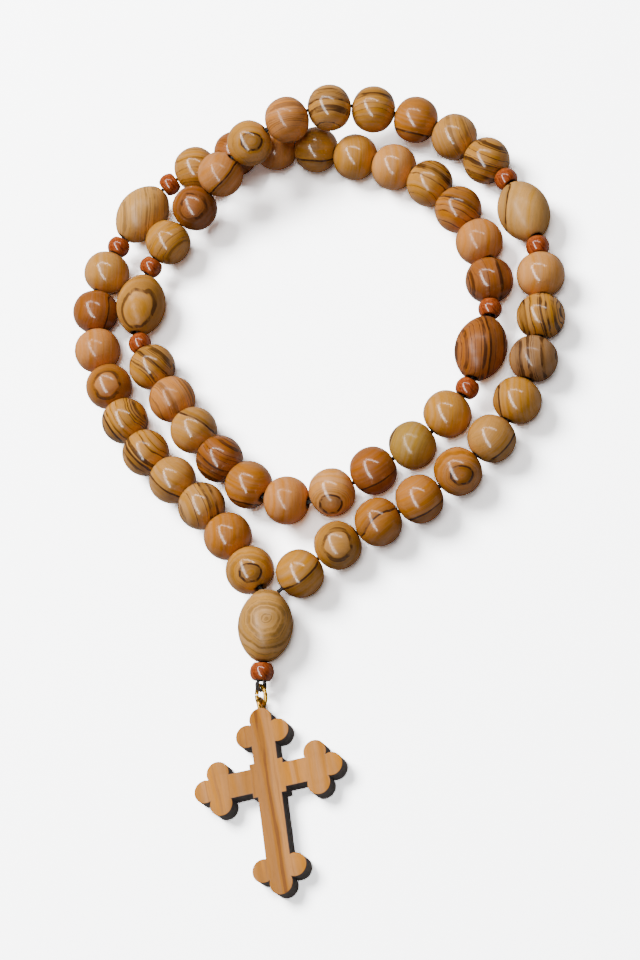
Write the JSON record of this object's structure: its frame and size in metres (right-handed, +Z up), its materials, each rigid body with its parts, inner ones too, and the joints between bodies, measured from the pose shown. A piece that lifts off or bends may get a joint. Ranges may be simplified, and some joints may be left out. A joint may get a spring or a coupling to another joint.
{
  "type": "rosary",
  "caption": "Olive wood prayer bead loop laid in two turns, with round and oval beads on a dark cord and a lobed wooden cross on a gold ring.",
  "frame": {"origin": "middle of the footprint on the table, at table height", "axes": "+Z up from the table, +Y from the cross towards the far end of the bead loop, +X to the right"},
  "size_m": [0.1104, 0.175, 0.0198],
  "materials": {
    "bead_wood_golden": "glossy varnished olive wood, golden with brown grain lines",
    "bead_wood_pink": "glossy varnished olive wood, pinkish tan and plain",
    "bead_wood_dark": "glossy varnished olive wood, brown with dark heartwood bands",
    "bead_wood_olive": "glossy varnished olive wood, olive yellow",
    "oval_wood": "satin olive wood with dark grain lines",
    "spacer_wood": "glossy reddish brown stained wood",
    "cord": "black waxed braided cord",
    "gold": "polished gold-coloured wire",
    "cross_wood": "matte olive wood face, sides charred dark by the cut"
  },
  "bodies": {
    "strand": {"loop_cord": "cord", "oval_beads": "oval_wood", "loop_spacers": "spacer_wood"},
    "drop": {"drop_cord": "cord"},
    "ring": {"jump_ring": "gold"},
    "cross": {"cross": "cross_wood", "screw_eye": "gold"},
    "centre_bead": {"centre_bead": "oval_wood"},
    "drop_spacer": {"drop_spacer": "spacer_wood"},
    "decade_1_bead_1": {"decade_1_bead_1": "bead_wood_pink"},
    "decade_1_bead_2": {"decade_1_bead_2": "bead_wood_golden"},
    "decade_1_bead_3": {"decade_1_bead_3": "bead_wood_olive"},
    "decade_1_bead_4": {"decade_1_bead_4": "bead_wood_dark"},
    "decade_1_bead_5": {"decade_1_bead_5": "bead_wood_pink"},
    "decade_1_bead_6": {"decade_1_bead_6": "bead_wood_golden"},
    "decade_1_bead_7": {"decade_1_bead_7": "bead_wood_olive"},
    "decade_1_bead_8": {"decade_1_bead_8": "bead_wood_dark"},
    "decade_1_bead_9": {"decade_1_bead_9": "bead_wood_pink"},
    "decade_1_bead_10": {"decade_1_bead_10": "bead_wood_golden"},
    "decade_2_bead_1": {"decade_2_bead_1": "bead_wood_olive"},
    "decade_2_bead_2": {"decade_2_bead_2": "bead_wood_dark"},
    "decade_2_bead_3": {"decade_2_bead_3": "bead_wood_pink"},
    "decade_2_bead_4": {"decade_2_bead_4": "bead_wood_golden"},
    "decade_2_bead_5": {"decade_2_bead_5": "bead_wood_olive"},
    "decade_2_bead_6": {"decade_2_bead_6": "bead_wood_dark"},
    "decade_2_bead_7": {"decade_2_bead_7": "bead_wood_pink"},
    "decade_2_bead_8": {"decade_2_bead_8": "bead_wood_golden"},
    "decade_2_bead_9": {"decade_2_bead_9": "bead_wood_olive"},
    "decade_2_bead_10": {"decade_2_bead_10": "bead_wood_dark"},
    "decade_3_bead_1": {"decade_3_bead_1": "bead_wood_pink"},
    "decade_3_bead_2": {"decade_3_bead_2": "bead_wood_golden"},
    "decade_3_bead_3": {"decade_3_bead_3": "bead_wood_olive"},
    "decade_3_bead_4": {"decade_3_bead_4": "bead_wood_dark"},
    "decade_3_bead_5": {"decade_3_bead_5": "bead_wood_pink"},
    "decade_3_bead_6": {"decade_3_bead_6": "bead_wood_golden"},
    "decade_3_bead_7": {"decade_3_bead_7": "bead_wood_olive"},
    "decade_3_bead_8": {"decade_3_bead_8": "bead_wood_dark"},
    "decade_3_bead_9": {"decade_3_bead_9": "bead_wood_pink"},
    "decade_3_bead_10": {"decade_3_bead_10": "bead_wood_golden"},
    "decade_4_bead_1": {"decade_4_bead_1": "bead_wood_olive"},
    "decade_4_bead_2": {"decade_4_bead_2": "bead_wood_dark"},
    "decade_4_bead_3": {"decade_4_bead_3": "bead_wood_pink"},
    "decade_4_bead_4": {"decade_4_bead_4": "bead_wood_golden"},
    "decade_4_bead_5": {"decade_4_bead_5": "bead_wood_olive"},
    "decade_4_bead_6": {"decade_4_bead_6": "bead_wood_dark"},
    "decade_4_bead_7": {"decade_4_bead_7": "bead_wood_pink"},
    "decade_4_bead_8": {"decade_4_bead_8": "bead_wood_golden"},
    "decade_4_bead_9": {"decade_4_bead_9": "bead_wood_olive"},
    "decade_4_bead_10": {"decade_4_bead_10": "bead_wood_dark"},
    "decade_5_bead_1": {"decade_5_bead_1": "bead_wood_pink"},
    "decade_5_bead_2": {"decade_5_bead_2": "bead_wood_golden"},
    "decade_5_bead_3": {"decade_5_bead_3": "bead_wood_olive"},
    "decade_5_bead_4": {"decade_5_bead_4": "bead_wood_dark"},
    "decade_5_bead_5": {"decade_5_bead_5": "bead_wood_pink"},
    "decade_5_bead_6": {"decade_5_bead_6": "bead_wood_golden"},
    "decade_5_bead_7": {"decade_5_bead_7": "bead_wood_olive"},
    "decade_5_bead_8": {"decade_5_bead_8": "bead_wood_dark"},
    "decade_5_bead_9": {"decade_5_bead_9": "bead_wood_pink"},
    "decade_5_bead_10": {"decade_5_bead_10": "bead_wood_golden"}
  },
  "joints": [
    {"name": "cross_swing", "type": "hinge", "parent": "ring", "child": "cross", "pos_m": [-0.00075, -0.04974, 0.002], "axis": [-0.9659, -0.2588, 0], "range_deg": [0, 24]},
    {"name": "drop_swing", "type": "hinge", "parent": "strand", "child": "drop", "pos_m": [-0.00075, -0.0265, 0.00681], "axis": [-1, 0, 0], "range_deg": [0, 50]},
    {"name": "ring_swing", "type": "hinge", "parent": "drop", "child": "ring", "pos_m": [-0.00075, -0.04592, 0.00374], "axis": [-1, 0, 0], "range_deg": [0, 30]},
    {"name": "spin_centre_bead", "type": "hinge", "parent": "drop", "child": "centre_bead", "pos_m": [-0.00075, -0.0265, 0.00681], "axis": [0, -0.9877, -0.1564], "continuous": true},
    {"name": "spin_drop_spacer", "type": "hinge", "parent": "drop", "child": "drop_spacer", "pos_m": [-0.00075, -0.0265, 0.00681], "axis": [0, -0.9877, -0.1564], "continuous": true},
    {"name": "spin_decade_1_bead_1", "type": "hinge", "parent": "strand", "child": "decade_1_bead_1", "pos_m": [-0.00554, -0.02226, 0.006], "axis": [-0.5874, 0.8084, -0.0388], "continuous": true},
    {"name": "spin_decade_1_bead_2", "type": "hinge", "parent": "strand", "child": "decade_1_bead_2", "pos_m": [-0.01152, -0.0148, 0.00575], "axis": [-0.6611, 0.7501, -0.0147], "continuous": true},
    {"name": "spin_decade_1_bead_3", "type": "hinge", "parent": "strand", "child": "decade_1_bead_3", "pos_m": [-0.01836, -0.00813, 0.00564], "axis": [-0.7667, 0.6419, -0.0083], "continuous": true},
    {"name": "spin_decade_1_bead_4", "type": "hinge", "parent": "strand", "child": "decade_1_bead_4", "pos_m": [-0.02587, -0.00221, 0.00545], "axis": [-0.8027, 0.5956, -0.0315], "continuous": true},
    {"name": "spin_decade_1_bead_5", "type": "hinge", "parent": "strand", "child": "decade_1_bead_5", "pos_m": [-0.03305, 0.00411, 0.00522], "axis": [-0.6929, 0.7209, -0.0152], "continuous": true},
    {"name": "spin_decade_1_bead_6", "type": "hinge", "parent": "strand", "child": "decade_1_bead_6", "pos_m": [-0.03907, 0.01155, 0.00516], "axis": [-0.5604, 0.8282, 0.0023], "continuous": true},
    {"name": "spin_decade_1_bead_7", "type": "hinge", "parent": "strand", "child": "decade_1_bead_7", "pos_m": [-0.04412, 0.01966, 0.00518], "axis": [-0.4957, 0.8685, 0.0014], "continuous": true},
    {"name": "spin_decade_1_bead_8", "type": "hinge", "parent": "strand", "child": "decade_1_bead_8", "pos_m": [-0.04825, 0.02829, 0.00519], "axis": [-0.3662, 0.9305, 0], "continuous": true},
    {"name": "spin_decade_1_bead_9", "type": "hinge", "parent": "strand", "child": "decade_1_bead_9", "pos_m": [-0.05024, 0.03766, 0.00518], "axis": [-0.0427, 0.9991, -0.0008], "continuous": true},
    {"name": "spin_decade_1_bead_10", "type": "hinge", "parent": "strand", "child": "decade_1_bead_10", "pos_m": [-0.04913, 0.04717, 0.00522], "axis": [0.2715, 0.9624, 0.0095], "continuous": true},
    {"name": "spin_decade_2_bead_1", "type": "hinge", "parent": "strand", "child": "decade_2_bead_1", "pos_m": [-0.03156, 0.07241, 0.00524], "axis": [0.8726, 0.4883, -0.0129], "continuous": true},
    {"name": "spin_decade_2_bead_2", "type": "hinge", "parent": "strand", "child": "decade_2_bead_2", "pos_m": [-0.02263, 0.07588, 0.00518], "axis": [0.9736, 0.2284, 0.0012], "continuous": true},
    {"name": "spin_decade_2_bead_3", "type": "hinge", "parent": "strand", "child": "decade_2_bead_3", "pos_m": [-0.01312, 0.07694, 0.00519], "axis": [1, -0.008, 0], "continuous": true},
    {"name": "spin_decade_2_bead_4", "type": "hinge", "parent": "strand", "child": "decade_2_bead_4", "pos_m": [-0.00361, 0.0759, 0.00519], "axis": [0.9779, -0.2091, 0], "continuous": true},
    {"name": "spin_decade_2_bead_5", "type": "hinge", "parent": "strand", "child": "decade_2_bead_5", "pos_m": [0.00565, 0.07352, 0.00519], "axis": [0.958, -0.2868, 0], "continuous": true},
    {"name": "spin_decade_2_bead_6", "type": "hinge", "parent": "strand", "child": "decade_2_bead_6", "pos_m": [0.01475, 0.07059, 0.00519], "axis": [0.9449, -0.3273, 0], "continuous": true},
    {"name": "spin_decade_2_bead_7", "type": "hinge", "parent": "strand", "child": "decade_2_bead_7", "pos_m": [0.02325, 0.06617, 0.00519], "axis": [0.8107, -0.5855, 0], "continuous": true},
    {"name": "spin_decade_2_bead_8", "type": "hinge", "parent": "strand", "child": "decade_2_bead_8", "pos_m": [0.0302, 0.0596, 0.00519], "axis": [0.6306, -0.7761, 0], "continuous": true},
    {"name": "spin_decade_2_bead_9", "type": "hinge", "parent": "strand", "child": "decade_2_bead_9", "pos_m": [0.03556, 0.05167, 0.00518], "axis": [0.4834, -0.8754, -0.0008], "continuous": true},
    {"name": "spin_decade_2_bead_10", "type": "hinge", "parent": "strand", "child": "decade_2_bead_10", "pos_m": [0.03857, 0.04257, 0.00522], "axis": [0.1375, -0.9905, 0.0079], "continuous": true},
    {"name": "spin_decade_3_bead_1", "type": "hinge", "parent": "strand", "child": "decade_3_bead_1", "pos_m": [0.03256, 0.01235, 0.00522], "axis": [-0.5922, -0.8055, -0.0219], "continuous": true},
    {"name": "spin_decade_3_bead_2", "type": "hinge", "parent": "strand", "child": "decade_3_bead_2", "pos_m": [0.02584, 0.00554, 0.00509], "axis": [-0.7969, -0.6041, -0.004], "continuous": true},
    {"name": "spin_decade_3_bead_3", "type": "hinge", "parent": "strand", "child": "decade_3_bead_3", "pos_m": [0.0181, -0.00007, 0.0052], "axis": [-0.8224, -0.5684, 0.026], "continuous": true},
    {"name": "spin_decade_3_bead_4", "type": "hinge", "parent": "strand", "child": "decade_3_bead_4", "pos_m": [0.00995, -0.00505, 0.0057], "axis": [-0.8782, -0.4717, 0.0788], "continuous": true},
    {"name": "spin_decade_3_bead_5", "type": "hinge", "parent": "strand", "child": "decade_3_bead_5", "pos_m": [0.00055, -0.00705, 0.00621], "axis": [-0.9956, 0.0911, 0.021], "continuous": true},
    {"name": "spin_decade_3_bead_6", "type": "hinge", "parent": "strand", "child": "decade_3_bead_6", "pos_m": [-0.00838, -0.0035, 0.00596], "axis": [-0.7952, 0.6024, -0.069], "continuous": true},
    {"name": "spin_decade_3_bead_7", "type": "hinge", "parent": "strand", "child": "decade_3_bead_7", "pos_m": [-0.01585, 0.00246, 0.00562], "axis": [-0.7658, 0.643, -0.0013], "continuous": true},
    {"name": "spin_decade_3_bead_8", "type": "hinge", "parent": "strand", "child": "decade_3_bead_8", "pos_m": [-0.0227, 0.00913, 0.00546], "axis": [-0.663, 0.7479, -0.0324], "continuous": true},
    {"name": "spin_decade_3_bead_9", "type": "hinge", "parent": "strand", "child": "decade_3_bead_9", "pos_m": [-0.02885, 0.01645, 0.00522], "axis": [-0.622, 0.7828, -0.0169], "continuous": true},
    {"name": "spin_decade_3_bead_10", "type": "hinge", "parent": "strand", "child": "decade_3_bead_10", "pos_m": [-0.03462, 0.02407, 0.00526], "axis": [-0.5849, 0.8107, 0.0238], "continuous": true},
    {"name": "spin_decade_4_bead_1", "type": "hinge", "parent": "strand", "child": "decade_4_bead_1", "pos_m": [-0.03513, 0.05382, 0.00611], "axis": [0.5085, 0.86, 0.0424], "continuous": true},
    {"name": "spin_decade_4_bead_2", "type": "hinge", "parent": "strand", "child": "decade_4_bead_2", "pos_m": [-0.02931, 0.06128, 0.00764], "axis": [0.6887, 0.6709, 0.2751], "continuous": true},
    {"name": "spin_decade_4_bead_3", "type": "hinge", "parent": "strand", "child": "decade_4_bead_3", "pos_m": [-0.02287, 0.06746, 0.01108], "axis": [0.6519, 0.6182, 0.4391], "continuous": true},
    {"name": "spin_decade_4_bead_4", "type": "hinge", "parent": "strand", "child": "decade_4_bead_4", "pos_m": [-0.01575, 0.07304, 0.01422], "axis": [0.8194, 0.5338, 0.209], "continuous": true},
    {"name": "spin_decade_4_bead_5", "type": "hinge", "parent": "strand", "child": "decade_4_bead_5", "pos_m": [-0.00762, 0.07807, 0.01475], "axis": [0.859, 0.5025, -0.0977], "continuous": true},
    {"name": "spin_decade_4_bead_6", "type": "hinge", "parent": "strand", "child": "decade_4_bead_6", "pos_m": [0.00103, 0.0817, 0.01278], "axis": [0.9196, 0.2431, -0.3085], "continuous": true},
    {"name": "spin_decade_4_bead_7", "type": "hinge", "parent": "strand", "child": "decade_4_bead_7", "pos_m": [0.01009, 0.0825, 0.00978], "axis": [0.9472, -0.0767, -0.3112], "continuous": true},
    {"name": "spin_decade_4_bead_8", "type": "hinge", "parent": "strand", "child": "decade_4_bead_8", "pos_m": [0.01917, 0.08082, 0.00727], "axis": [0.9395, -0.2706, -0.2101], "continuous": true},
    {"name": "spin_decade_4_bead_9", "type": "hinge", "parent": "strand", "child": "decade_4_bead_9", "pos_m": [0.02779, 0.07694, 0.00577], "axis": [0.8411, -0.5319, -0.098], "continuous": true},
    {"name": "spin_decade_4_bead_10", "type": "hinge", "parent": "strand", "child": "decade_4_bead_10", "pos_m": [0.03532, 0.07105, 0.00528], "axis": [0.7224, -0.6915, -0.0059], "continuous": true},
    {"name": "spin_decade_5_bead_1", "type": "hinge", "parent": "strand", "child": "decade_5_bead_1", "pos_m": [0.04943, 0.04352, 0.00522], "axis": [0.1531, -0.9882, -0.0094], "continuous": true},
    {"name": "spin_decade_5_bead_2", "type": "hinge", "parent": "strand", "child": "decade_5_bead_2", "pos_m": [0.05024, 0.034, 0.00518], "axis": [0.0168, -0.9999, 0.0011], "continuous": true},
    {"name": "spin_decade_5_bead_3", "type": "hinge", "parent": "strand", "child": "decade_5_bead_3", "pos_m": [0.04952, 0.02446, 0.00517], "axis": [-0.1682, -0.9857, -0.0038], "continuous": true},
    {"name": "spin_decade_5_bead_4", "type": "hinge", "parent": "strand", "child": "decade_5_bead_4", "pos_m": [0.04692, 0.01525, 0.00513], "axis": [-0.3707, -0.9287, -0.005], "continuous": true},
    {"name": "spin_decade_5_bead_5", "type": "hinge", "parent": "strand", "child": "decade_5_bead_5", "pos_m": [0.04238, 0.00683, 0.00528], "axis": [-0.5719, -0.8195, 0.0365], "continuous": true},
    {"name": "spin_decade_5_bead_6", "type": "hinge", "parent": "strand", "child": "decade_5_bead_6", "pos_m": [0.03616, -0.00044, 0.00563], "axis": [-0.7218, -0.6911, 0.0369], "continuous": true},
    {"name": "spin_decade_5_bead_7", "type": "hinge", "parent": "strand", "child": "decade_5_bead_7", "pos_m": [0.02875, -0.00648, 0.0058], "axis": [-0.8224, -0.5689, -0.0006], "continuous": true},
    {"name": "spin_decade_5_bead_8", "type": "hinge", "parent": "strand", "child": "decade_5_bead_8", "pos_m": [0.02057, -0.01143, 0.00562], "axis": [-0.8852, -0.4636, -0.0384], "continuous": true},
    {"name": "spin_decade_5_bead_9", "type": "hinge", "parent": "strand", "child": "decade_5_bead_9", "pos_m": [0.0124, -0.01638, 0.00524], "axis": [-0.8201, -0.5707, -0.0412], "continuous": true},
    {"name": "spin_decade_5_bead_10", "type": "hinge", "parent": "strand", "child": "decade_5_bead_10", "pos_m": [0.00517, -0.02265, 0.00552], "axis": [-0.6782, -0.7282, 0.0993], "continuous": true}
  ]
}
